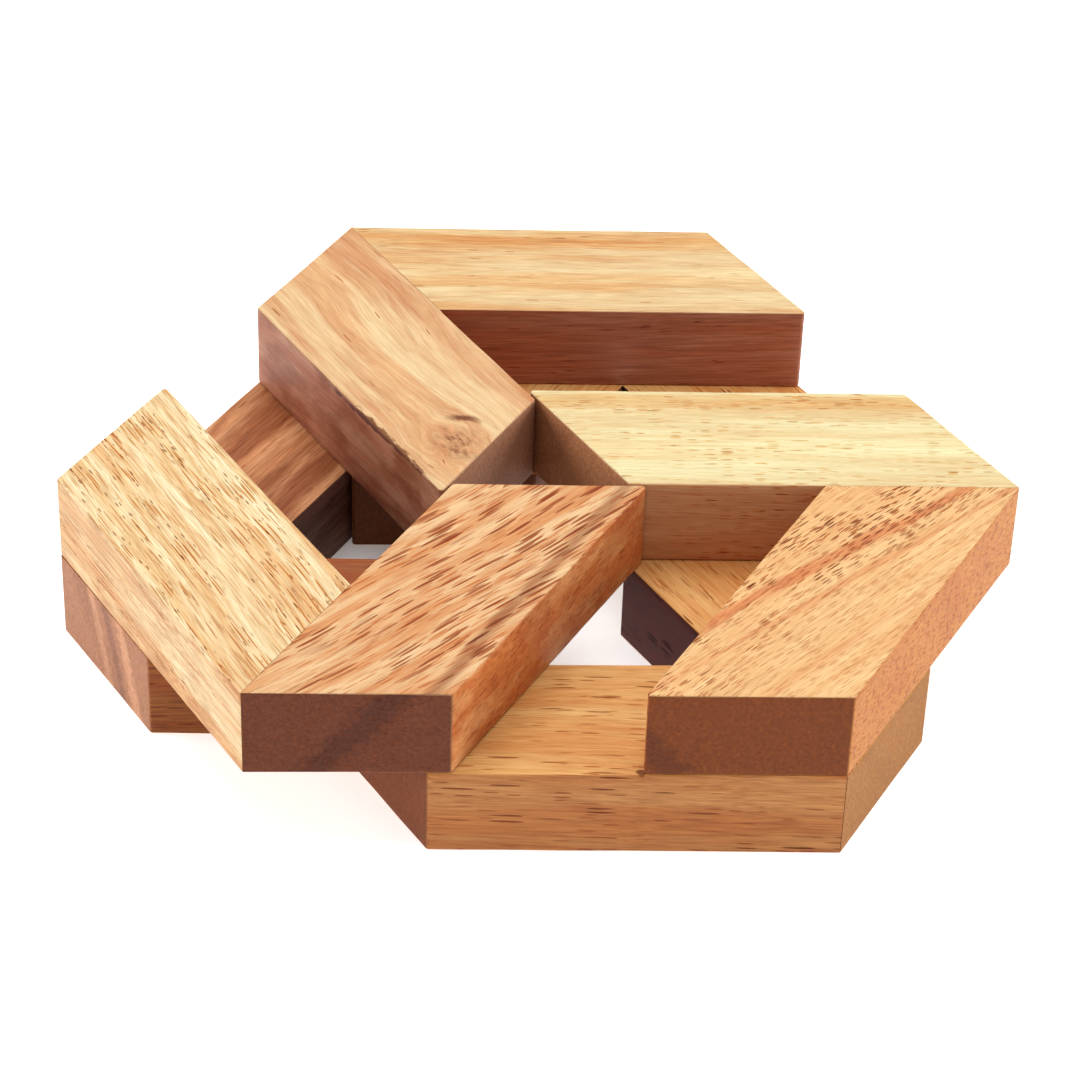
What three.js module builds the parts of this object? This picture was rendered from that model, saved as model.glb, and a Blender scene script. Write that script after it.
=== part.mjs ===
// A three-piece hexagon burr in hardwood, shown part way open.
//
// Twelve blocks are cut from one strip: each is a rhomboid, two end cuts long. Two blocks butt into a V, and
// two Vs, one on top of the other and a sixth of a turn apart, are glued into one piece. Three such pieces
// hold each other: every piece's upper V lies over the next piece's lower V. Closed, they are a full
// hexagonal prism. They open only all together, each sliding along its two neighbours.
//
// Millimetres, +Z up. The origin is under the middle of the puzzle's plan, on the surface it stands on.

import * as THREE from "three";

// ---- Driving dimensions ----
const blockWidth = 25; // across a block, square to its long sides
const blockThickness = 13.8; // one layer's height
const opening = 25.5; // how far each piece has slid along its neighbours since the puzzle was closed
const seam = 0.3; // between two faces that slide along each other, and between two that are glued
const closedPlay = 0.6; // between the faces that come together as the puzzle closes
const edgeEase = 0.4; // sanded edges round the upper and lower faces
const cornerRadius = 0.6; // of each upright edge
const edgeSteps = 2; // facets across an eased edge
const cornerSteps = 4; // facets round an upright edge

// ---- What follows from them ----
const cutAngle = Math.PI / 3; // between a block's long sides and its ends: six of them go round the axis
const slant = 1 / Math.sin(cutAngle); // length along an end for each millimetre across the block
const lean = 1 / Math.tan(cutAngle); // how far an end leans for each millimetre across the block
const endCut = blockWidth * slant;
const reach = 2 * endCut + closedPlay * slant; // from the axis to the tip of a V: the closed hexagon's side
const hexagonHalf = reach * Math.sin(cutAngle); // from the axis to a side of the closed hexagon
const outward = opening / Math.sqrt(3); // how far each piece has moved away from the axis
const upperLayer = blockThickness + seam; // height of the upper layer's underside

// A V is two blocks of one size. The spine points straight out from the axis. The arm butts against the
// spine's side with its end, at the tip, and its own outer side is one side of the closed hexagon.
const spineOutline = [
  [seam * slant, 0],
  [reach, 0],
  [reach - blockWidth * lean, blockWidth],
  [seam * slant - blockWidth * lean, blockWidth],
];
const armOutline = [
  [reach - seam * lean - endCut, -seam],
  [reach / 2 - endCut, -hexagonHalf],
  [reach / 2, -hexagonHalf],
  [reach - seam * lean, -seam],
];

// The direction that a side faces, as an angle, for an outline drawn anticlockwise.
const facing = (from, to) => Math.atan2(from[0] - to[0], to[1] - from[1]);

// A closed outline of straight sides, each corner rounded by an arc that touches both of its sides.
function roundedShape(corners) {
  const shape = new THREE.Shape();
  corners.forEach((corner, i) => {
    const before = facing(corners.at(i - 1), corner);
    const after = facing(corner, corners[(i + 1) % corners.length]);
    const half = THREE.MathUtils.euclideanModulo(after - before, 2 * Math.PI) / 2;
    const inset = cornerRadius / Math.cos(half);
    const x = corner[0] - inset * Math.cos(before + half);
    const y = corner[1] - inset * Math.sin(before + half);
    shape.absarc(x, y, cornerRadius, before, before + 2 * half, false);
  });
  return shape;
}

// One layer's thickness of the outline, with its upper and lower edges eased.
function blockGeometry(outline) {
  return new THREE.ExtrudeGeometry(roundedShape(outline), {
    depth: blockThickness - 2 * edgeEase,
    bevelThickness: edgeEase,
    bevelSize: edgeEase,
    bevelOffset: -edgeEase,
    bevelSegments: edgeSteps,
    curveSegments: cornerSteps,
  }).translate(0, 0, edgeEase);
}

const spineGeometry = blockGeometry(spineOutline);
const armGeometry = blockGeometry(armOutline);

// ---- Finishes: one hardwood, from its pale sapwood to its dark heartwood ----
const wood = (color, roughness) => new THREE.MeshStandardMaterial({ color, roughness, metalness: 0 });
const woods = {
  pale: wood(0xe6c78c, 0.52),
  golden: wood(0xdba76a, 0.5),
  amber: wood(0xc98a52, 0.5),
  russet: wood(0x9c6238, 0.52),
};

// ---- The three pieces, alike and a third of a turn apart: the finish of each V's spine and arm ----
const pieces = [
  { name: "right", upper: ["pale", "golden"], lower: ["amber", "golden"] },
  { name: "back", upper: ["golden", "golden"], lower: ["russet", "amber"] },
  { name: "left", upper: ["amber", "pale"], lower: ["russet", "russet"] },
];

function block(name, geometry, finish) {
  const mesh = new THREE.Mesh(geometry, woods[finish]);
  mesh.name = name;
  return mesh;
}

function vee(name, [spineFinish, armFinish]) {
  return new THREE.Group().add(
    block(`${name}_spine`, spineGeometry, spineFinish),
    block(`${name}_arm`, armGeometry, armFinish),
  );
}

// Two Vs glued one on the other. The lower one is turned back by one side of the hexagon, so that its spine
// runs under the end of the upper arm. The piece leaves the axis square to the upper arm's outer side.
function puzzlePiece({ name, upper, lower }, i) {
  const upperVee = vee(`${name}_upper`, upper);
  upperVee.position.z = upperLayer;
  const lowerVee = vee(`${name}_lower`, lower);
  lowerVee.rotation.z = -cutAngle;
  const piece = new THREE.Group().add(upperVee, lowerVee);
  piece.rotation.z = (i * 2 * Math.PI) / pieces.length;
  const heading = piece.rotation.z - cutAngle / 2;
  piece.position.set(outward * Math.cos(heading), outward * Math.sin(heading), 0);
  return piece;
}

const puzzle = new THREE.Group().add(...pieces.map(puzzlePiece));
const middle = new THREE.Box3().setFromObject(puzzle, true).getCenter(new THREE.Vector3());
puzzle.position.set(-middle.x, -middle.y, 0);

export default puzzle;
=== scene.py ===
# %% [markdown]
# # A three-piece hexagon burr in hardwood
#
# The puzzle is twelve wooden blocks, glued by fours into three pieces that slide out only all together. The
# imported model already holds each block's place, so this script reads it, lays a finely shaped block over
# each plain one, and gives every block its own wood.

# %% Load the frame
import math

import bpy
import numpy as np
from mathutils import Matrix, Vector


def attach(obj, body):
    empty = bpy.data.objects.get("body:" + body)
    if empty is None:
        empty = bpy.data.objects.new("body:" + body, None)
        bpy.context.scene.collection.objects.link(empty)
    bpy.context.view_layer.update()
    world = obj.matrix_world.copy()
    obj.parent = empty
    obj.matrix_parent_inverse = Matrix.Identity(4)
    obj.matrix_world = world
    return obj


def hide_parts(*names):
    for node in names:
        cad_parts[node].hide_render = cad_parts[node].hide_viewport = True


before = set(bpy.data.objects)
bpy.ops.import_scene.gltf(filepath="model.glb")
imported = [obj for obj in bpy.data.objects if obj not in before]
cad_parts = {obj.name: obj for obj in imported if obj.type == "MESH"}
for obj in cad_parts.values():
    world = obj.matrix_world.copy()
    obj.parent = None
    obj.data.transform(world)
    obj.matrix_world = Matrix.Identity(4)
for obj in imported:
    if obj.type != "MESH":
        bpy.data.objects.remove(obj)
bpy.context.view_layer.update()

MM = 0.001

# %% [markdown]
# ## Where each block lies
#
# Every block is the same rhomboid, lying along some heading: two long sides, and two ends cut at 60 degrees
# to them. Its six faces could be typed in as numbers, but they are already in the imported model. A face's
# distance from the origin is the furthest that any of the block's points reaches along that face's
# direction, so six directions are enough to measure a block, and nothing here has to be changed if the
# model's sizes do.

# %% Measure the blocks
SIDES = {"right side": -90, "far end": 30, "left side": 90, "near end": 210}
PIECE_TURN = {"right": 0, "back": 120, "left": 240}
LAYER_TURN = {"upper": 0, "lower": -60}
ROLE_TURN = {"spine": 0, "arm": 60}


def direction(degrees):
    """The unit vector in plan at an angle from +X."""
    return np.array([math.cos(math.radians(degrees)), math.sin(math.radians(degrees))])


class Block:
    """One block's heading, its four upright faces as directions and distances, and its floor and ceiling."""

    def __init__(self, node):
        self.node = node
        self.piece, self.layer, self.role = node.split("_")
        self.heading = PIECE_TURN[self.piece] + LAYER_TURN[self.layer] + ROLE_TURN[self.role]
        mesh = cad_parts[node].data
        points = np.empty(len(mesh.vertices) * 3)
        mesh.vertices.foreach_get("co", points)
        points = points.reshape(-1, 3) / MM
        self.normals = np.array([direction(self.heading + turn) for turn in SIDES.values()])
        self.reaches = (points[:, :2] @ self.normals.T).max(axis=0)
        self.floor, self.ceiling = points[:, 2].min(), points[:, 2].max()
        self.width = self.reaches[0] + self.reaches[2]

    def corners(self, inset=0.0):
        """Where neighbouring faces, each moved inwards by the inset, cross: two lines, two unknowns."""
        ahead = np.roll(self.normals, -1, axis=0)
        lines = np.stack([self.normals, ahead], axis=1)
        reaches = np.stack([self.reaches, np.roll(self.reaches, -1)], axis=1) - inset
        return np.linalg.solve(lines, reaches[..., None])[..., 0]

    @property
    def middle(self):
        return np.append(self.corners().mean(axis=0), (self.floor + self.ceiling) / 2)


blocks = {node: Block(node) for node in sorted(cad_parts)}
END_CUT = blocks["right_upper_spine"].width / math.sin(math.radians(60))
AXIS = np.mean([block.middle for block in blocks.values()], axis=0)  # the puzzle's threefold axis
print("a block's end cut is %.2f mm; the axis stands at %.2f, %.2f" % (END_CUT, AXIS[0], AXIS[1]))

# %% [markdown]
# ## Closing the glue lines
#
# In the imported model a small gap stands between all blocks, so that the solids never touch. On the real
# puzzle the glued faces are drawn tight, and only a hair of dark glue shows. The gap could be filled with a
# strip of glue, but nobody would see more than a line of it, so the glued faces are simply moved closer to
# each other. The layers keep enough of their gap for the pieces to slide.

# %% Draw the glued faces together
GLUE_SHOWS = 0.03  # millimetres of dark line between two glued blocks
LAYER_SHOWS = 0.1  # and between the layers
RIGHT, FAR = list(SIDES).index("right side"), list(SIDES).index("far end")
arm = blocks["right_upper_arm"]
END_GAP = -arm.reaches[FAR] - blocks["right_upper_spine"].reaches[RIGHT]  # the two faces look at each other
LAYER_GAP = arm.floor - blocks["right_lower_arm"].ceiling
for block in blocks.values():
    if block.role == "arm":
        block.reaches[FAR] += END_GAP - GLUE_SHOWS
    if block.layer == "upper":
        block.floor -= (LAYER_GAP - LAYER_SHOWS) / 2
    else:
        block.ceiling += (LAYER_GAP - LAYER_SHOWS) / 2
print("the ends stood %.2f mm off and the layers %.2f mm; both are drawn in" % (END_GAP, LAYER_GAP))

# %% [markdown]
# ## The shape of a block
#
# A block is sawn from a strip, then its edges are eased by hand with fine paper, which leaves them neither
# sharp nor even. A cube with a Bevel modifier would give the same rounding everywhere. Here the block is a
# surface over two parameters instead: one runs round the outline, the other climbs from the middle of the
# underside, out over the lower edge, up the side and back over the upper edge to the middle of the top. The
# easing is a slow wave along the outline, as a hand leaves it.

# %% Work out the surface
UPRIGHT_RADIUS = 0.6  # millimetres, as are the next four
TIGHT_RADIUS = 0.05  # where two blocks were glued first and sanded as one
EASE = 0.32
EASE_WAVE = 0.12
FLUSH_EASE = 0.04  # along a glued joint, which was sanded flush
ROUND_SHARE = 0.9  # the easing takes at most this much of an upright corner's radius
ARC_STEPS = 5
SIDE_STEPS = 56
WALL_STEPS = 8
FACE_STEPS = np.array([0.4, 0.9, 1.6, 3.0, 5.5, 9.0])  # millimetres in from the eased edge


def corner_radii(block):
    """The radius of the corner after each side. The tip of a V, and an arm's glued end, stay tight."""
    tight = {"right side": True, "far end": block.role == "arm"}
    return np.array([TIGHT_RADIUS if tight.get(side) else UPRIGHT_RADIUS for side in SIDES])


def outline(block):
    """Round the block: each column's place on the core, its radius, and the direction it faces.

    A corner's core is where the two sides, moved in by its radius, cross. Along a side the place and the
    radius run from one corner's to the next and the direction stays. Round a corner only the direction turns.
    """
    radii = corner_radii(block)
    core = block.corners(radii[:, None])
    turns = np.radians(block.heading + np.array(list(SIDES.values())))
    places, angles, radius = [], [], []
    for i in range(len(core)):
        share = np.linspace(0, 1, SIDE_STEPS, endpoint=False)[:, None]
        places.append(core[i - 1] + (core[i] - core[i - 1]) * share)
        radius.append(radii[i - 1] + (radii[i] - radii[i - 1]) * share[:, 0])
        angles.append(np.full(SIDE_STEPS, turns[i]))
        sweep = (turns[(i + 1) % len(core)] - turns[i]) % (2 * np.pi)
        places.append(np.repeat(core[i : i + 1], ARC_STEPS, axis=0))
        radius.append(np.full(ARC_STEPS, radii[i]))
        angles.append(turns[i] + sweep * np.linspace(0, 1, ARC_STEPS, endpoint=False))
    angles = np.concatenate(angles)
    return np.concatenate(places), np.concatenate(radius), np.stack([np.cos(angles), np.sin(angles)], axis=1)


def joined(block):
    """1 at a glued joint's columns: an arm's whole far end, and the outer half of a spine's right side."""
    side, skipped = (FAR, 0) if block.role == "arm" else (RIGHT, SIDE_STEPS // 2)
    first = side * (SIDE_STEPS + ARC_STEPS)
    glued = np.zeros(len(SIDES) * (SIDE_STEPS + ARC_STEPS))
    glued[first + skipped : first + SIDE_STEPS] = 1.0
    return glued


def eased(places, radius, glued, seed):
    """How much of the edge was sanded away at each column, never more than the corner's own radius allows.

    A mean and three slow sine waves along the run, and next to nothing along a glued joint.
    """
    run = np.cumsum(np.linalg.norm(places - np.roll(places, 1, axis=0), axis=1))
    turns = 2 * np.pi * run / run[-1]
    phases = np.random.default_rng(seed).uniform(0, 2 * np.pi, 3)
    waves = sum(np.sin(k * turns + phase) for k, phase in zip((3, 7, 13), phases))
    free = np.minimum(EASE + EASE_WAVE * waves / 3, radius * ROUND_SHARE)
    return free + (FLUSH_EASE - free) * glued


def block_surface(block, seed):
    """The block as a grid of points with their directions, rows climbing and columns going round.

    A row's point is the core's place plus (radius - inset) times the direction. The inset and the height of
    the eased rows follow a quarter circle. Rows on the flat faces shrink the edge towards the middle.
    """
    places, radius, facing = outline(block)
    ease = eased(places, radius, joined(block), seed)[:, None]
    arc = np.linspace(0, np.pi / 2, ARC_STEPS)
    inset = ease * (1 - np.sin(arc))
    rise = ease * (1 - np.cos(arc))
    wall = np.linspace(0, 1, WALL_STEPS + 2)[1:-1]
    low = block.floor + rise
    high = block.ceiling - rise[:, ::-1]
    walls = low[:, -1:] + (high[:, :1] - low[:, -1:]) * wall
    z = np.concatenate([low, walls, high], axis=1)
    insets = np.concatenate([inset, np.zeros_like(walls), inset[:, ::-1]], axis=1)
    plan = places[:, None] + (radius[:, None] - insets)[..., None] * facing[:, None]
    tilt = np.concatenate([arc - np.pi / 2, np.zeros(WALL_STEPS), arc])[None, :, None]
    upward = np.sin(tilt) + np.zeros_like(z)[..., None]
    normal = np.concatenate([np.cos(tilt) * facing[:, None], upward], axis=2)
    return flat_faces(block, np.concatenate([plan, z[..., None]], axis=2), normal)


def flat_faces(block, points, normal):
    """Adds the rows of the flat faces, each a step further in, and returns rows from underside to top."""
    middle = block.middle[:2]
    out = points[:, 0, :2] - middle
    shares = 1 - FACE_STEPS / (block.width / 2)
    plan = middle + out[:, None] * shares[None, :, None]
    level = np.ones(plan.shape[:2] + (1,))
    up = np.broadcast_to([0.0, 0.0, 1.0], plan.shape[:2] + (3,))
    under = np.concatenate([plan, block.floor * level], axis=2)[:, ::-1]
    over = np.concatenate([plan, block.ceiling * level], axis=2)
    grid = np.concatenate([under, points, over], axis=1)
    return grid, np.concatenate([-up, normal, up], axis=1)


print("a block's surface:", block_surface(blocks["right_upper_arm"], 0)[0].shape[:2], "columns and rows")

# %% [markdown]
# ## The tone of each face
#
# One strip of wood runs from pale sapwood to dark heartwood, so a block can be straw-coloured on top and
# nearly chocolate on one side. The saw also leaves the ends rough, and they drink more oil and turn darker.
# The tones are also in part painted shade: a face that lies in shade, as some deep in the holes do, is
# given a darker tone than its wood alone would have.
# Six plain materials on six faces would change at the edge like paint. Instead each point carries a tone,
# mixed by the way the point faces, and how much of it is end grain. The tone's alpha says how far the
# vessels gape there, because handling rubs some faces full of dust and wax. The wood's own pattern does the
# rest.

# %% Mix the tones over a surface
FACES = (*SIDES, "top", "underside")
EDGE_SHARPNESS = 6  # how quickly one face's tone gives way to the next round an edge


def colour(code):
    """A colour written as on a paint card, turned into the linear light that the renderer adds up."""
    channels = np.array([int(code[i : i + 2], 16) for i in (0, 2, 4)]) / 255
    linear = np.where(channels < 0.04045, channels / 12.92, ((channels + 0.055) / 1.055) ** 2.4)
    return (*linear, 1.0)


def face_weights(block, normal):
    """How far a point belongs to each face: its direction against the face's, to a high power, as shares."""
    upright = np.maximum(normal[..., :2] @ block.normals.T, 0)
    flat = np.stack([np.maximum(normal[..., 2], 0), np.maximum(-normal[..., 2], 0)], axis=-1)
    weights = np.concatenate([upright, flat], axis=-1) ** EDGE_SHARPNESS
    return weights / weights.sum(axis=-1, keepdims=True)


def tones_and_ends(block, normal, tones, rubbed):
    """Each point's tone, whose alpha is how far the vessels gape there, and its share of end grain."""
    weights = face_weights(block, normal)
    faces = np.array([colour(tones[face]) for face in FACES])
    faces[:, 3] = [1.0 - rubbed.get(face, 0.0) for face in FACES]
    return weights @ faces, weights @ np.array([float("end" in face) for face in FACES])


print("a straw colour in linear light:", [round(c, 3) for c in colour("e6c78c")])

# %% [markdown]
# ## From numbers to a mesh
#
# The grid becomes quads, and one point closes each flat face in its middle, as the hub of a wheel of
# triangles. The surface could also be left open underneath, where nobody looks, but a puzzle is picked up
# and turned over.

# %% Make a mesh of a grid
def grid_faces(columns, rows):
    """Quads between neighbouring columns and rows, wrapping round, wound so that they face outwards."""
    i, j = np.meshgrid(np.arange(columns), np.arange(rows - 1), indexing="ij")
    ahead = (i + 1) % columns
    corners = [i * rows + j, ahead * rows + j, ahead * rows + j + 1, i * rows + j + 1]
    return np.stack(corners, axis=-1).reshape(-1, 4)


def caps(columns, rows):
    """Triangles from the lowest and the highest row to the two hub points, which follow the grid's points."""
    i = np.arange(columns)
    ahead = (i + 1) % columns
    low, high = columns * rows, columns * rows + 1
    under = np.stack([ahead * rows, i * rows, np.full(columns, low)], axis=1)
    over = np.stack([i * rows + rows - 1, ahead * rows + rows - 1, np.full(columns, high)], axis=1)
    return np.concatenate([under, over])


def mesh_of(name, grid, values):
    """A smooth-shaded mesh in metres of a grid with two hub points. values are the points' own amounts."""
    columns, rows = grid.shape[:2]
    hubs = grid[:, [0, -1]].mean(axis=0)
    mesh = bpy.data.meshes.new(name)
    points = np.concatenate([grid.reshape(-1, 3), hubs]) * MM
    mesh.from_pydata(points, [], grid_faces(columns, rows).tolist() + caps(columns, rows).tolist())
    mesh.polygons.foreach_set("use_smooth", np.ones(len(mesh.polygons), bool))
    for key, value in values.items():
        kind, slot = ("FLOAT", "value") if value.ndim == 2 else ("FLOAT_COLOR", "color")
        flat = np.concatenate([value.reshape(-1), value[:, [0, -1]].mean(axis=0).reshape(-1)])
        mesh.attributes.new(key, kind, "POINT").data.foreach_set(slot, flat.astype(np.float32))
    piece = bpy.data.objects.new(name, mesh)
    bpy.context.scene.collection.objects.link(piece)
    return piece


# %% [markdown]
# ## Writing a wood as sums
#
# A wood is built from shader nodes, and their arithmetic is easier to read as Python. A Wire is one output
# socket, and adding or multiplying two Wires adds the Math node that does it. A Wood holds one material's
# nodes, and every other kind of node comes from its one method.

# %% Wire and Wood
class Wire:
    """An output socket that does sums: each operator adds one Math node."""

    def __init__(self, wood, socket):
        self.wood, self.socket = wood, socket

    def math(self, operation, *values):
        return self.wood.node("ShaderNodeMath", {"operation": operation}, dict(enumerate(values)))

    def __add__(self, other):
        return self.math("ADD", self, other)

    def __sub__(self, other):
        return self.math("SUBTRACT", self, other)

    def __rsub__(self, other):
        return self.math("SUBTRACT", other, self)

    def __mul__(self, other):
        return self.math("MULTIPLY", self, other)

    __radd__, __rmul__ = __add__, __mul__

    def size(self):
        return self.math("ABSOLUTE", self)

    def most(self, other):
        return self.math("MAXIMUM", self, other)

    def step(self, start, end):
        """0 below start, 1 above end, and a soft S between. With start above end it falls instead."""
        return self.wood.node(
            "ShaderNodeMapRange",
            {"interpolation_type": "SMOOTHSTEP"},
            {"Value": self, "From Min": start, "From Max": end},
        )

    def other(self, name):
        """Another output of the node that this Wire comes from."""
        return Wire(self.wood, self.socket.node.outputs[name])


class Wood:
    """One material's nodes."""

    def __init__(self, name):
        self.material = bpy.data.materials.new(name)
        self.material.use_nodes = True
        self.tree = self.material.node_tree
        self.tree.nodes.clear()

    def node(self, kind, settings=None, inputs=None, output=0):
        """A new node: its settings, then its inputs as values or Wires, and one of its outputs as a Wire."""
        made = self.tree.nodes.new(kind)
        for key, value in (settings or {}).items():
            setattr(made, key, value)
        for key, value in (inputs or {}).items():
            if isinstance(value, Wire):
                self.tree.links.new(value.socket, made.inputs[key])
            else:
                made.inputs[key].default_value = value
        return None if output is None else Wire(self, made.outputs[output])

    def finish(self, surface):
        """A Principled shader with these sockets set, joined to the material's output."""
        shader = self.node("ShaderNodeBsdfPrincipled", {}, surface)
        self.node("ShaderNodeOutputMaterial", {}, {"Surface": shader}, output=None)

    def blend(self, share, first, second, how="MIX"):
        """Two colours mixed; share 0 is all the first. Sockets 6 and 7 are the Mix node's colours."""
        settings = {"data_type": "RGBA", "blend_type": how, "clamp_factor": True}
        return self.node("ShaderNodeMix", settings, {0: share, 6: first, 7: second}, output=2)

    def stain(self, share, body, tint):
        """A colour multiplied by a tint as far as the share says. A tint above one bleaches instead."""
        return self.blend(share, body, (*tint, 1.0), how="MULTIPLY")

    def grey(self, value):
        """A Wire of numbers as a grey colour."""
        return self.node("ShaderNodeCombineColor", {}, {channel: value for channel in range(3)})


print("every sum of Wires is a Math node, and one method makes all other nodes")


# %% [markdown]
# ## The grain
#
# The wood has open pores: vessels that run along the grain, cut open as short dark dashes on the long faces
# and as dots on the ends. A picture of a plank would show dashes everywhere. A solid pattern is cut as wood
# is: it is worked out in space, in millimetres along the grain, across it and up, so each face shows its
# own section. Stretched cells give the vessels, and stretched noise the fibres and the broad figure.

# %% Solid patterns
RAGGED = 0.2  # how far a vessel's outline wanders, in shares of its radius
VESSEL_BLUR = 0.05


def along_the_grain(wood, block, skew, tip):
    """Object coordinates turned to the block, its middle at zero, in millimetres: X runs along the grain."""
    place = wood.node("ShaderNodeTexCoord", output="Object")
    turned = (0.0, math.radians(tip), math.radians(block.heading + skew))
    middle = tuple(block.middle * MM)
    inputs = {"Vector": place, "Location": middle, "Rotation": turned, "Scale": (MM, MM, MM)}
    return wood.node("ShaderNodeMapping", {"vector_type": "TEXTURE"}, inputs)


def stretched(wood, vector, length, across, seed):
    """The vector shrunk so that a pattern of unit size comes out this long and this wide, in millimetres."""
    inputs = {
        "Vector": vector,
        "Location": (seed * 3.7, seed * 1.3, seed * 2.1),
        "Scale": (1 / length, 1 / across, 1 / across),
    }
    return wood.node("ShaderNodeMapping", {"vector_type": "POINT"}, inputs)


def noise(wood, vector, length, across, seed, detail=3.0, roughness=0.55):
    """Drawn-out noise between 0 and 1, about one half on average."""
    inputs = {
        "Vector": stretched(wood, vector, length, across, seed),
        "Scale": 1.0,
        "Detail": detail,
        "Roughness": roughness,
    }
    return wood.node("ShaderNodeTexNoise", {}, inputs)


def vessels(wood, vector, length, spacing, share, dropped, seed):
    """Vessels cut open: 1 inside a drawn-out cell's core and 0 outside.

    Each cell of a stretched Voronoi pattern holds one vessel, whose radius is at most the given share of the
    spacing. A second number of the cell, its colour, makes some vessels thinner and drops others.
    """
    cells = stretched(wood, vector, length, spacing, seed)
    distance = wood.node("ShaderNodeTexVoronoi", {}, {"Vector": cells, "Scale": 1.0, "Randomness": 1.0})
    chance = wood.node("ShaderNodeSeparateColor", {}, {0: distance.other("Color")})
    core = share * (0.6 + 0.4 * chance) * chance.step(dropped, dropped + 0.02)
    ragged = (noise(wood, vector, 0.9, 0.15, seed + 1, detail=1.0) - 0.5) * RAGGED
    return (distance + ragged * share - core).step(VESSEL_BLUR, -VESSEL_BLUR)


def offset(wood, vector, y):
    """The vector with a Wire added to its Y, which bends the grain sideways."""
    shift = wood.node("ShaderNodeCombineXYZ", {}, {"Y": y})
    return wood.node("ShaderNodeVectorMath", {"operation": "ADD"}, {0: vector, 1: shift})


def distance_to(wood, vector, point, stretch=(1.0, 1.0, 1.0)):
    """The distance from a point in millimetres, each axis divided by its own stretch."""
    away = wood.node("ShaderNodeVectorMath", {"operation": "SUBTRACT"}, {0: vector, 1: point})
    shrunk = wood.node("ShaderNodeVectorMath", {"operation": "DIVIDE"}, {0: away, 1: stretch})
    return wood.node("ShaderNodeVectorMath", {"operation": "LENGTH"}, {0: shrunk}, output="Value")


print("the patterns are laid along headings of", sorted({block.heading % 360 for block in blocks.values()}))

# %% [markdown]
# ## The knot
#
# A branch once grew through the back piece's upper spine. The grain parts in front of it and closes behind
# it, and the knot itself is a small greyish swirl. It could be painted on, but then the grain would run
# straight through it. Here the pattern's own coordinates are pushed aside round the branch, so all lines
# flow past.

# %% The knot
KNOTTED = {  # places and lengths in millimetres from the block's middle, X along the grain
    "point": (-26.5, 4.0, 6.9),  # the branch's heart
    "stretch": (8.5, 6.5, 12.0),  # how far it pushes the grain
    "rim": 6.9,  # where the bark was shut in
    "bark": (-21.2, -0.4, 6.9),  # and where that line is darkest
}
ASHEN = (0.76, 0.6, 0.53)
CURLED = (0.42, 0.3, 0.25)
BLEACHED = (1.35, 1.4, 1.45)
BARK = (0.3, 0.17, 0.13)


def part_round(wood, straight, grain, branch):
    """The grain with Y pulled to the branch's own Y near it, so that lines of equal Y bulge past it."""
    near = distance_to(wood, straight, branch["point"], branch["stretch"])
    pull = wood.node("ShaderNodeMath", {"operation": "EXPONENT"}, {0: near * near * -1.0})
    y = wood.node("ShaderNodeSeparateXYZ", {}, {0: straight}).other("Y")
    wobble = noise(wood, straight, 6.0, 4.0, 91) - 0.5
    return offset(wood, grain, (branch["point"][1] - y) * pull * 0.9 + wobble * pull * 9.0), near


def knot_colour(wood, vector, near, branch, body):
    """A greyish heart of curls, darker specks round it, and the dark line where the bark was shut in."""
    curl = noise(wood, vector, 2.2, 1.0, 77, detail=3.0, roughness=0.6)
    heart = (near + curl * 0.7).step(1.2, 0.65)
    body = wood.stain(heart * 0.9, body, ASHEN)
    body = wood.stain(curl.step(0.48, 0.68) * heart, body, CURLED)
    body = wood.stain(curl.step(0.46, 0.32) * heart * 0.7, body, BLEACHED)
    rim = distance_to(wood, vector, branch["point"]) + (curl - 0.5) * 1.5 - branch["rim"]
    bark = rim.size().step(1.1, 0.3) * distance_to(wood, vector, branch["bark"]).step(4.0, 0.5)
    return wood.stain(bark, body, BARK)


print("the knot's bark line runs %.1f mm from its heart" % KNOTTED["rim"])

# %% [markdown]
# ## Figure, streaks and ends
#
# Year rings stand round a pith that lay somewhere off the block, so they are noise of the distance from it.
# A plain wave of that distance would draw even stripes, as no tree does. The ends get a recipe of their
# own, because there the saw shows the rings head on, as broad bands, and leaves a fine grit of cut fibres.

# %% Figure, streaks and ends
END_RINGS = 5.0  # a ring is drawn this much broader on the sawn ends
BAND_SHADE = (0.72, 0.66, 0.66)
CHALK = (1.7, 1.6, 1.5)


def ring_figure(wood, vector, pith, period, seed):
    """Year rings: noise of the distance from the pith, a line along the grain somewhere off the block."""
    flat = wood.node("ShaderNodeVectorMath", {"operation": "MULTIPLY"}, {0: vector, 1: (0.04, 1.0, 1.0)})
    radius = distance_to(wood, flat, (0.0, *pith))
    wander = noise(wood, vector, 70.0, 14.0, seed + 5) - 0.5
    rings = (radius + wander * 9.0) * (1 / period) + seed * 7.0
    inputs = {"W": rings, "Scale": 1.0, "Detail": 4.0, "Roughness": 0.65}
    return wood.node("ShaderNodeTexNoise", {"noise_dimensions": "1D"}, inputs)


def streak(wood, vector, y, slope, width, seed, along="X"):
    """1 along a line that leans with X or Z, and 0 off it: a step of the distance in Y, frayed by noise."""
    parts = wood.node("ShaderNodeSeparateXYZ", {}, {0: vector})
    ragged = (noise(wood, vector, 18.0, 1.2, seed, detail=4.0) - 0.5) * width * 1.6
    away = parts.other("Y") - parts.other(along) * slope - y + ragged
    return away.size().step(width, width * 0.2)


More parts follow.
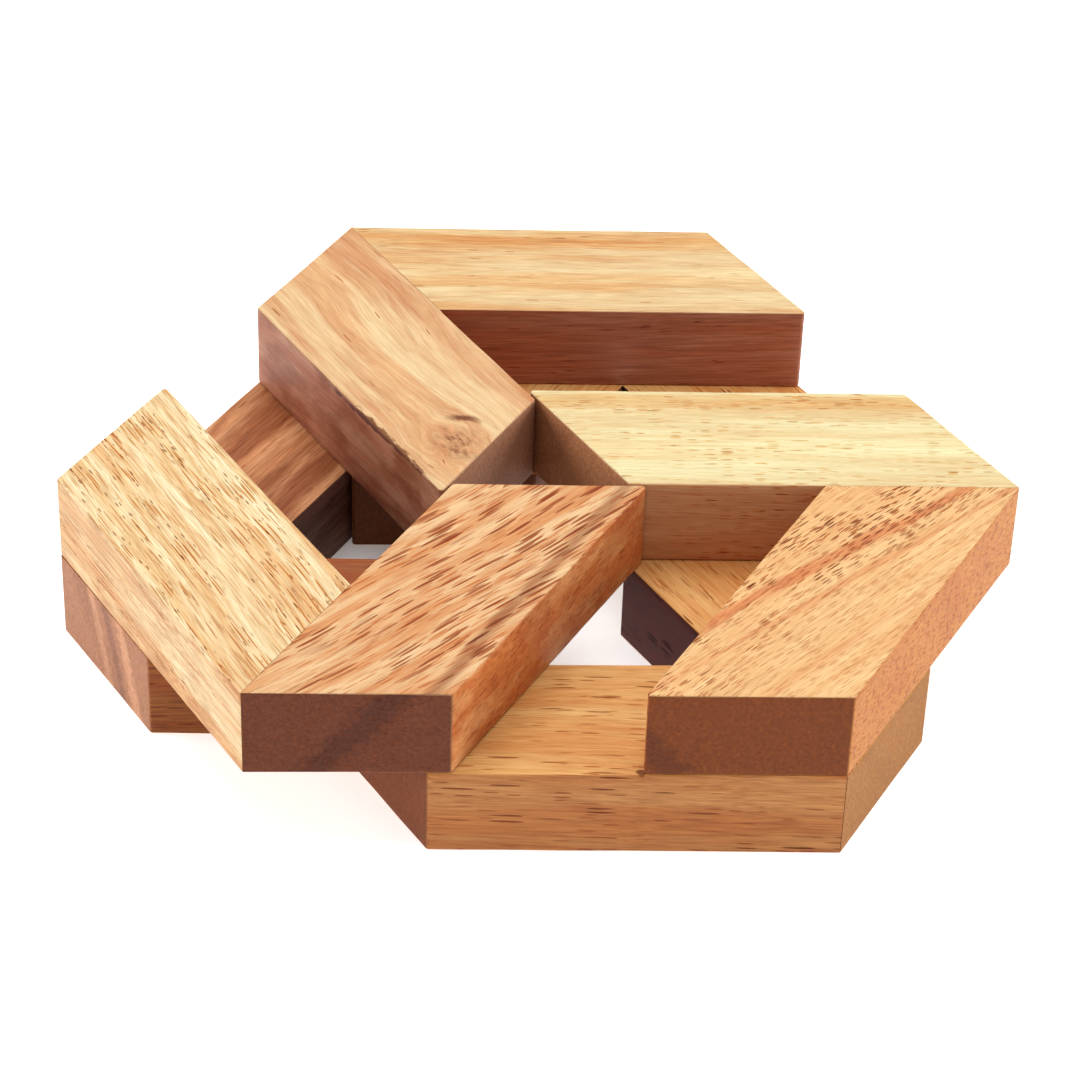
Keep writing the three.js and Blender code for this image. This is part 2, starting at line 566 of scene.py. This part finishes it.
def sawn_end(wood, vector, tone, look):
    """End grain: the face's tone, broad rings, a stripe or two across it, and the fine grit of cut fibres."""
    seed = look["seed"]
    band = ring_figure(wood, vector, look["pith"], look["ring"] * END_RINGS, seed + 9).step(0.5, 0.64)
    surface = wood.stain(band * look["end_band"], tone, BAND_SHADE)
    for k, (y, slope, width, tint, amount) in enumerate(look["end_streaks"]):
        run = streak(wood, vector, y, slope, width, seed + 30 + k, along="Z")
        surface = wood.stain(run * amount, surface, tint)
    grit = noise(wood, vector, 0.6, 0.6, seed + 8, detail=3.0, roughness=0.7)
    surface = wood.blend(look["grit"], surface, wood.grey((grit - 0.5) * 1.8 + 0.5), how="SOFT_LIGHT")
    dots = vessels(wood, vector, 0.6, 0.6, 0.28, 0.5, seed + 10)
    return wood.stain(dots * 0.45, surface, CHALK)


print("on the sawn ends a ring is drawn %d times as broad" % END_RINGS)

# %% [markdown]
# ## The wood itself
#
# Layer by layer, as it grew: bands of darker wood over the face's tone, a streak or two, the figure of the
# year rings, blotches, fine fibres, then the vessels cut open, and last what happened to the block later:
# chips and the saw. Each block takes the same recipe with its own amounts. A glossy lacquer would mirror
# the lamps, but this wood is only waxed, so it is fairly rough, and its vessels are small furrows.

# %% The long faces
DUSKY = (0.66, 0.49, 0.39)
CHARRED = (0.32, 0.18, 0.1)


def grown(wood, grain, tone, look):
    """The wood before it was cut: bands, streaks, figure and blotches, each stained into what came before."""
    seed = look["seed"]
    bands = noise(wood, grain, *look["band_size"], seed + 1, detail=4.0, roughness=0.6).step(0.4, 0.6)
    body = wood.stain(bands * look["bands"], tone, look["deep"])
    for k, (y, slope, width, tint, amount) in enumerate(look["streaks"]):
        body = wood.stain(streak(wood, grain, y, slope, width, seed + 20 + k) * amount, body, tint)
    rings = ring_figure(wood, grain, look["pith"], look["ring"], seed)
    ribbon = noise(wood, grain, 50.0, 0.8, seed + 2, detail=3.0, roughness=0.6)
    figure = (rings * 0.55 + ribbon * 0.45).step(0.4, 0.6)
    body = wood.stain(figure * look["figure"], body, look["ribbon"])
    mottle = noise(wood, grain, 9.0, 5.0, seed + 13, detail=4.0).step(0.38, 0.66)
    rubbed_full = 1.0 - tone.other("Alpha")
    return wood.stain(mottle * (look["mottle"] + rubbed_full * 0.8), body, DUSKY)


def cut_open(wood, straight, grain, tone, look):
    """How deep each point lies in a fine and in a coarse vessel. Both stand in bunches, from one side on."""
    seed = look["seed"]
    across = wood.node("ShaderNodeSeparateXYZ", {}, {0: straight}).other("Y")
    crowd = noise(wood, grain, *look["bunch_size"], seed + 4)
    bunched = crowd.step(*look["bunch"]) * across.step(*look["open"])
    gaping = tone.other("Alpha")
    fine = vessels(wood, grain, *look["fine"], seed + 6) * (0.45 + 0.55 * bunched) * gaping
    coarse = vessels(wood, grain, *look["coarse"], seed + 7) * bunched * gaping
    return fine, coarse


def chipped(wood, straight, look, body):
    """Dark crumbs broken out or burnt at some places, their outlines made uneven by noise."""
    crumbs = (noise(wood, straight, 2.0, 0.8, look["seed"] + 14, detail=4.0) - 0.5) * 2.0
    for point, size, stretch in look["chips"]:
        chip = distance_to(wood, straight, point, stretch) + crumbs * size
        body = wood.stain(chip.step(size, size * 0.5), body, CHARRED)
    return body


print("bands, streaks, figure, blotches, vessels and chips are ready to be stained in")

# %% The recipe
FURROW_DEPTH = 0.00012
FIBRE_LIFT = 0.3  # the fibres stand this much of a furrow's depth proud
GLOSS = 0.2  # waxed, not lacquered


def hardwood(name, block, look):
    """One block's wood. look gives its amounts; what they mean stands above the usual block."""
    wood = Wood(name)
    seed = look["seed"]
    straight = along_the_grain(wood, block, look["skew"], look["tip"])
    sway = noise(wood, straight, 40.0, 30.0, seed + 11, detail=1.0) - 0.5
    grain = offset(wood, straight, sway * look["wave"])
    if "branch" in look:
        grain, near_branch = part_round(wood, straight, grain, look["branch"])
    tone = wood.node("ShaderNodeAttribute", {"attribute_name": "tone"}, output="Color")
    end = wood.node("ShaderNodeAttribute", {"attribute_name": "end_grain"}, output="Fac").step(0.35, 0.65)

    body = grown(wood, grain, tone, look)
    fibres = noise(wood, grain, 9.0, 0.26, seed + 3, detail=3.0, roughness=0.65)
    body = wood.blend(look["fibre"], body, wood.grey((fibres - 0.5) * 2.6 + 0.5), how="SOFT_LIGHT")
    fine, coarse = cut_open(wood, straight, grain, tone, look)
    body = wood.stain(fine, body, look["fine_pore"])
    body = wood.stain(coarse * 0.95, body, look["pore"])
    if "branch" in look:
        body = knot_colour(wood, straight, near_branch, look["branch"], body)
    body = chipped(wood, straight, look, body)
    body = wood.blend(end, body, sawn_end(wood, straight, tone, look))

    pores = coarse.most(fine * 0.5)
    bump = {"Strength": 0.4, "Distance": FURROW_DEPTH, "Height": fibres * FIBRE_LIFT - pores}
    surface = {
        "Base Color": body,
        "Roughness": 0.47 + pores * 0.2 + fibres * 0.12 + end * 0.08,
        "Specular IOR Level": GLOSS,
        "Normal": wood.node("ShaderNodeBump", {}, bump, output="Normal"),
    }
    wood.finish(surface)
    return wood.material


print("a furrow is at most %.2f mm deep" % (FURROW_DEPTH / MM))

# %% [markdown]
# ## The strip they were cut from
#
# All twelve blocks are one kind of tropical hardwood, but no two look alike. Twelve materials written out
# would bury what differs, so one table says how each block differs from a usual one. Lengths are in
# millimetres, places are X along the grain, Y across it and Z up from the block's middle, and a tint
# multiplies the colour.
#
# - tones are the faces' colours, as on a paint card, and in part painted shade: a face that lies in shade
#   has a darker tone. rubbed is how far a face's vessels are rubbed full; below zero they gape.
# - deep is the tint of the dark bands, bands their strength, and band_size how long and broad they are.
#   ribbon and figure are the tint and strength of the rings, ring their width, and pith where they have
#   their middle.
# - mottle, fibre and grit are the strengths of blotches, fibres and the saw's grit. wave is how far the
#   grain sways. skew and tip are how far it runs askew of the block, in degrees.
# - fine and coarse are the vessels: length, spacing, radius as a share of the spacing, and the share left
#   out. fine_pore and pore are their tints. bunch says where noise lets them stand together, bunch_size how
#   large such a bunch is, and open from where to where across the block they set in.
# - a streak is its place across the block, its slope, its half-width, its tint and its strength. An end
#   streak is the same on the sawn ends, with its slope up the block, and end_band is the strength of the
#   broad rings.
# - a chip is its place, its size, and how far it is drawn out in each direction. branch is the knot's.

# %% The usual block
SAP, SIDE, SAWN = "d8a668", "b57c44", "66381e"
PINKISH = (0.82, 0.53, 0.43)
TAN = (0.92, 0.7, 0.5)
BROWN = (0.5, 0.33, 0.24)
STRAW = (1.12, 1.22, 1.25)
SHADOW = (0.62, 0.58, 0.62)
PALE = (1.6, 1.8, 1.9)
USUAL_TONES = {
    "top": SAP, "underside": SAP, "right side": SIDE, "left side": SIDE, "near end": SAWN, "far end": SAWN,
}
USUAL = {
    "deep": (0.88, 0.6, 0.4), "bands": 0.6, "band_size": (60.0, 5.0), "streaks": [],
    "ribbon": (0.84, 0.6, 0.42), "figure": 0.4, "ring": 2.6, "pith": (55.0, 38.0),
    "mottle": 0.1, "fibre": 0.4, "wave": 3.0, "skew": 0.0, "tip": 2.0,
    "fine": (4.0, 0.36, 0.44, 0.8), "fine_pore": (0.66, 0.42, 0.27),
    "coarse": (4.0, 0.5, 0.42, 0.85), "pore": (0.36, 0.18, 0.1),
    "bunch": (0.4, 0.58), "bunch_size": (45.0, 4.0), "open": (-60.0, -50.0),
    "grit": 0.4, "end_band": 0.4, "end_streaks": [], "chips": [], "rubbed": {},
}
print("a usual block's fine vessels are up to %.2f mm thick" % (2 * USUAL["fine"][1] * USUAL["fine"][2]))

# %% The right piece's four
RIGHT_PIECE = {
    "right_upper_spine": {
        "tones": {"top": "d0c498", "right side": "c89870", "near end": "a46c48"},
        "bands": 0.4, "figure": 0.3, "mottle": 0.0, "fibre": 0.3, "wave": 1.5,
        "fine": (2.4, 0.32, 0.44, 0.8), "fine_pore": (0.87, 0.6, 0.34),
        "coarse": (2.6, 0.36, 0.44, 0.86), "pore": (0.66, 0.38, 0.17),
        "bunch": (0.42, 0.58), "bunch_size": (16.0, 5.0),
        "streaks": [(9.5, 0.0, 3.0, TAN, 0.8), (-3.0, 0.05, 6.0, STRAW, 0.5)],
    },
    "right_upper_arm": {
        # painted shade: the near end's dark tone, and the SHADOW end streak below, darken it for the shade on
        # its left part
        "tones": {"top": "d4ac78", "right side": "b0702c", "near end": "70340c"},
        "rubbed": {"right side": -0.7}, "bands": 0.25, "figure": 0.25, "skew": -14.0,
        "fine": (2.6, 0.34, 0.44, 0.35), "fine_pore": (0.6, 0.33, 0.19),
        "coarse": (2.9, 0.34, 0.43, 0.45), "pore": (0.33, 0.15, 0.07),
        "bunch": (0.4, 0.52), "bunch_size": (14.0, 6.0), "open": (-9.0, 6.0),
        "streaks": [
            (5.7, -0.11, 1.7, PINKISH, 1.0),
            (0.5, -0.09, 0.8, PINKISH, 0.5),
            (-9.0, 0.0, 1.2, PINKISH, 0.3),
        ],
        "end_band": 0.1, "end_streaks": [(4.5, 0.6, 3.5, SHADOW, 0.8)],
    },
    "right_lower_spine": {
        "tones": {"right side": "581808", "far end": "905c24", "top": "dca868"},
        "end_band": 0.2,
    },
    "right_lower_arm": {
        "tones": {"top": "d8a868", "right side": "b07844", "near end": "683008"},
        "figure": 0.35, "wave": 5.0,
        "fine": (3.5, 0.36, 0.42, 0.9), "coarse": (7.0, 0.42, 0.42, 0.86), "pore": (0.36, 0.2, 0.12),
        "bunch": (0.4, 0.55), "chips": [((7.5, -11.8, 7.1), 0.95, (1.0, 1.0, 1.0))],
    },
}
print(len(RIGHT_PIECE), "blocks of straight, pale wood with short dark vessels")

# %% The back piece's four
BACK_PIECE = {
    "back_upper_spine": {
        "tones": {"top": "d0b488", "left side": "a0745c", "near end": "a07054"},
        "rubbed": {"left side": 1.0}, "deep": (0.82, 0.56, 0.46), "bands": 0.8,
        "ribbon": (0.82, 0.6, 0.46), "figure": 0.35, "ring": 2.2, "pith": (40.0, 26.0),
        "mottle": 0.2, "fibre": 0.3, "wave": 8.0,
        "fine": (4.0, 0.34, 0.4, 0.97), "coarse": (3.0, 0.5, 0.4, 0.98),
        "streaks": [(-9.0, 0.06, 4.0, PINKISH, 0.6), (2.5, -0.12, 4.0, STRAW, 0.7)],
        "chips": [((-18.0, 12.5, 6.1), 0.85, (20.0, 1.0, 1.0))], "branch": KNOTTED,
    },
    "back_upper_arm": {
        "tones": {"top": "ccb488", "left side": "a06850"},
        "bands": 0.7, "fine": (3.0, 0.34, 0.4, 0.95), "coarse": (3.0, 0.5, 0.4, 0.98),
        "streaks": [(-9.0, 0.0, 3.5, TAN, 0.9), (3.0, 0.05, 4.0, STRAW, 0.6)],
    },
    # painted shade: the dark tones of these two faces, which look out of the left hole, stand mostly for the
    # shade in it
    "back_lower_spine": {"tones": {"right side": "7c4830"}},
    "back_lower_arm": {"tones": {"left side": "30201c"}},
}
print(len(BACK_PIECE), "blocks with few vessels, one of them knotted")

# %% The left piece's four
LEFT_PIECE = {
    "left_upper_spine": {
        "tones": {"top": "d0ac80", "left side": "c88c58", "far end": "602c14"},
        "rubbed": {"left side": 0.6}, "deep": (0.84, 0.56, 0.38), "bands": 0.9, "band_size": (50.0, 3.5),
        "fibre": 0.3, "skew": -17.0,
        "fine": (5.0, 0.42, 0.46, 0.25), "fine_pore": (0.82, 0.56, 0.4),
        "coarse": (8.0, 0.62, 0.44, 0.35), "pore": (0.45, 0.2, 0.1),
        "bunch": (0.36, 0.52), "streaks": [(10.5, 0.3, 1.6, BROWN, 0.75)],
        "end_band": 0.1, "end_streaks": [(8.6, 0.6, 3.0, SHADOW, 0.9)],
    },
    "left_upper_arm": {
        "tones": {"top": "d8c8a0", "right side": "c8b088"},
        "rubbed": {"right side": 0.3}, "bands": 0.5, "band_size": (60.0, 3.0),
        "ribbon": (0.84, 0.56, 0.31), "figure": 0.62, "fibre": 0.55, "skew": -2.0,
        "fine": (10.0, 0.3, 0.46, 0.3), "fine_pore": (0.68, 0.38, 0.17),
        "coarse": (1.6, 0.24, 0.45, 0.88), "pore": (0.34, 0.16, 0.08),
        "bunch": (0.42, 0.56), "bunch_size": (60.0, 2.5),
    },
    "left_lower_spine": {
        "tones": {"top": "a46840", "left side": "885020", "far end": "946448", "right side": "6c4028"},
        "bands": 0.9,
        "end_streaks": [
            (-1.0, -0.35, 1.6, PALE, 0.7),
            (3.0, -0.35, 1.6, SHADOW, 0.8),
            (7.0, -0.35, 2.0, PALE, 0.8),
        ],
    },
    "left_lower_arm": {
        "tones": {"top": "c89064", "left side": "6c4c40", "near end": "58382c", "right side": "6c4030"},
        "deep": (0.5, 0.34, 0.26), "bands": 1.0, "band_size": (40.0, 5.0), "figure": 0.5, "mottle": 0.3,
        "fine": (3.0, 0.34, 0.42, 0.9), "coarse": (3.5, 0.5, 0.4, 0.95),
    },
}
THE_STRIP = {**RIGHT_PIECE, **BACK_PIECE, **LEFT_PIECE}


def look_of(node, seed):
    """The usual look with the block's own differences put over it."""
    look = {**USUAL, "seed": seed, **THE_STRIP[node]}
    look["tones"] = {**USUAL_TONES, **THE_STRIP[node]["tones"]}
    return look


print(sum(len(own) for own in THE_STRIP.values()), "differences from the usual block in all")

# %% [markdown]
# ## Laying the blocks
#
# Each new block stands for one plain block of the imported model, which it hides, moves with the same piece
# and gets a wood of its own.

# %% Build every block
for seed, (node, block) in enumerate(blocks.items()):
    look = look_of(node, seed)
    grid, normal = block_surface(block, seed)
    tone, end_grain = tones_and_ends(block, normal, look["tones"], look["rubbed"])
    piece = mesh_of(node + "_block", grid, {"tone": tone, "end_grain": end_grain})
    piece.data.materials.append(hardwood(node + "_wood", block, look))
    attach(piece, block.piece + "_piece")
    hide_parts(node)
    print(node, len(piece.data.polygons), "faces")

# %% [markdown]
# ## The paper
#
# The puzzle lies on white paper. Lit by the lamps alone, paper comes out a light grey beside such bright
# wood, so it glows a little as well. Stronger lamps would whiten it too, but they would bleach the wood. In
# the hole at the left, where blocks stand close all round, the glow fades, or it would light the dark faces
# from below. The paper lies a hair under the puzzle, because two faces at one height would flicker.

# %% Paper
FLOOR_HALF = 1.5  # metres
PAPER_DROP = 0.00005  # metres below the puzzle
DULL, BRIGHT = (0.88, 0.88, 0.88, 1.0), (0.92, 0.92, 0.92, 1.0)
GLOW = 0.6
SHADE_PLACE = np.array([-0.95, 0.05])  # in end cuts from the axis: the hole in which the paper stays dark
SHADE_START, SHADE_END = 0.6, 1.4  # in end cuts from there
SHADE_LEFT = 0.22


def white_paper():
    """A square sheet of matt paper just under height zero, its corners at plus and minus its half-width."""
    corner = np.array([[-1, -1, 0], [1, -1, 0], [1, 1, 0], [-1, 1, 0]]) * FLOOR_HALF - [0, 0, PAPER_DROP]
    mesh = bpy.data.meshes.new("paper")
    mesh.from_pydata(corner, [], [(0, 1, 2, 3)])
    sheet = bpy.data.objects.new("paper", mesh)
    bpy.context.scene.collection.objects.link(sheet)
    paper = Wood("white_paper")
    place = paper.node("ShaderNodeTexCoord", output="Object")
    white = paper.blend(noise(paper, place, 0.002, 0.002, 0), DULL, BRIGHT)
    shade = tuple(np.append(AXIS[:2] + SHADE_PLACE * END_CUT, 0.0) * MM)
    away = distance_to(paper, place, shade).step(SHADE_START * END_CUT * MM, SHADE_END * END_CUT * MM)
    glow = paper.grey(away * (1.0 - SHADE_LEFT) + SHADE_LEFT)
    paper.finish({"Base Color": white, "Roughness": 0.8, "Emission Color": glow, "Emission Strength": GLOW})
    mesh.materials.append(paper.material)


white_paper()
print("the paper's glow fades to %d percent in the left hole" % (SHADE_LEFT * 100))

# %% [markdown]
# ## Light
#
# Three large soft lamps: a wide one overhead and behind, which makes the tops the brightest faces, and one
# on each side. The faces towards us get only what the paper and the room send back. A sky picture would
# light it as evenly, but lamps can be moved one by one.

# %% Lamps
LAMPS = {  # place and width in metres, and power in watts
    "overhead": ((0.0, 0.25, 1.1), 1.1, 13.0),
    "left": ((-1.1, -0.05, 0.34), 0.7, 9.5),
    "right": ((1.1, 0.0, 0.34), 0.7, 9.0),
}
ROOM_LIGHT = 0.42


def soft_lamp(name, place, width, power):
    """A square lamp that faces the puzzle."""
    lamp = bpy.data.lights.new(name, "AREA")
    lamp.size, lamp.energy = width, power
    holder = bpy.data.objects.new(name, lamp)
    holder.location = place
    holder.rotation_euler = (-Vector(place)).to_track_quat("-Z", "Y").to_euler()
    bpy.context.scene.collection.objects.link(holder)


for name, lamp in LAMPS.items():
    soft_lamp(name, *lamp)

world = bpy.data.worlds.new("white room")
world.use_nodes = True
room = world.node_tree.nodes["Background"]
room.inputs["Color"].default_value = (1.0, 1.0, 1.0, 1.0)
room.inputs["Strength"].default_value = ROOM_LIGHT
bpy.context.scene.world = world
bpy.context.scene.view_settings.view_transform = "Standard"
print(len(LAMPS), "lamps")

# %% [markdown]
# ## Camera
#
# Seen from a chair at the table: well above the puzzle, a little to its left, through a fairly long lens,
# so that the far blocks are hardly smaller than the near ones. Distances are in end cuts from the puzzle's
# axis, so the picture stays framed if the puzzle's size changes.

# %% Camera
CAMERA_PLACE = Vector((-0.66, -15.39, 11.52))
CAMERA_AIM = Vector((0.017, -0.07, 0.473))
CAMERA_ROLL = math.radians(2.0)
SENSOR, LENS = 36.0, 120.3  # millimetres

camera = bpy.data.cameras.new("camera")
camera.sensor_width, camera.lens = SENSOR, LENS
seat = bpy.data.objects.new("camera", camera)
origin = Vector((AXIS[0], AXIS[1], 0.0)) * MM
seat.location = origin + CAMERA_PLACE * END_CUT * MM
look_at = (CAMERA_AIM - CAMERA_PLACE).to_track_quat("-Z", "Y").to_matrix()
seat.rotation_euler = (look_at @ Matrix.Rotation(CAMERA_ROLL, 3, "Z")).to_euler()
bpy.context.scene.collection.objects.link(seat)
bpy.context.scene.camera = seat
print("the camera is %.2f m away" % seat.location.length)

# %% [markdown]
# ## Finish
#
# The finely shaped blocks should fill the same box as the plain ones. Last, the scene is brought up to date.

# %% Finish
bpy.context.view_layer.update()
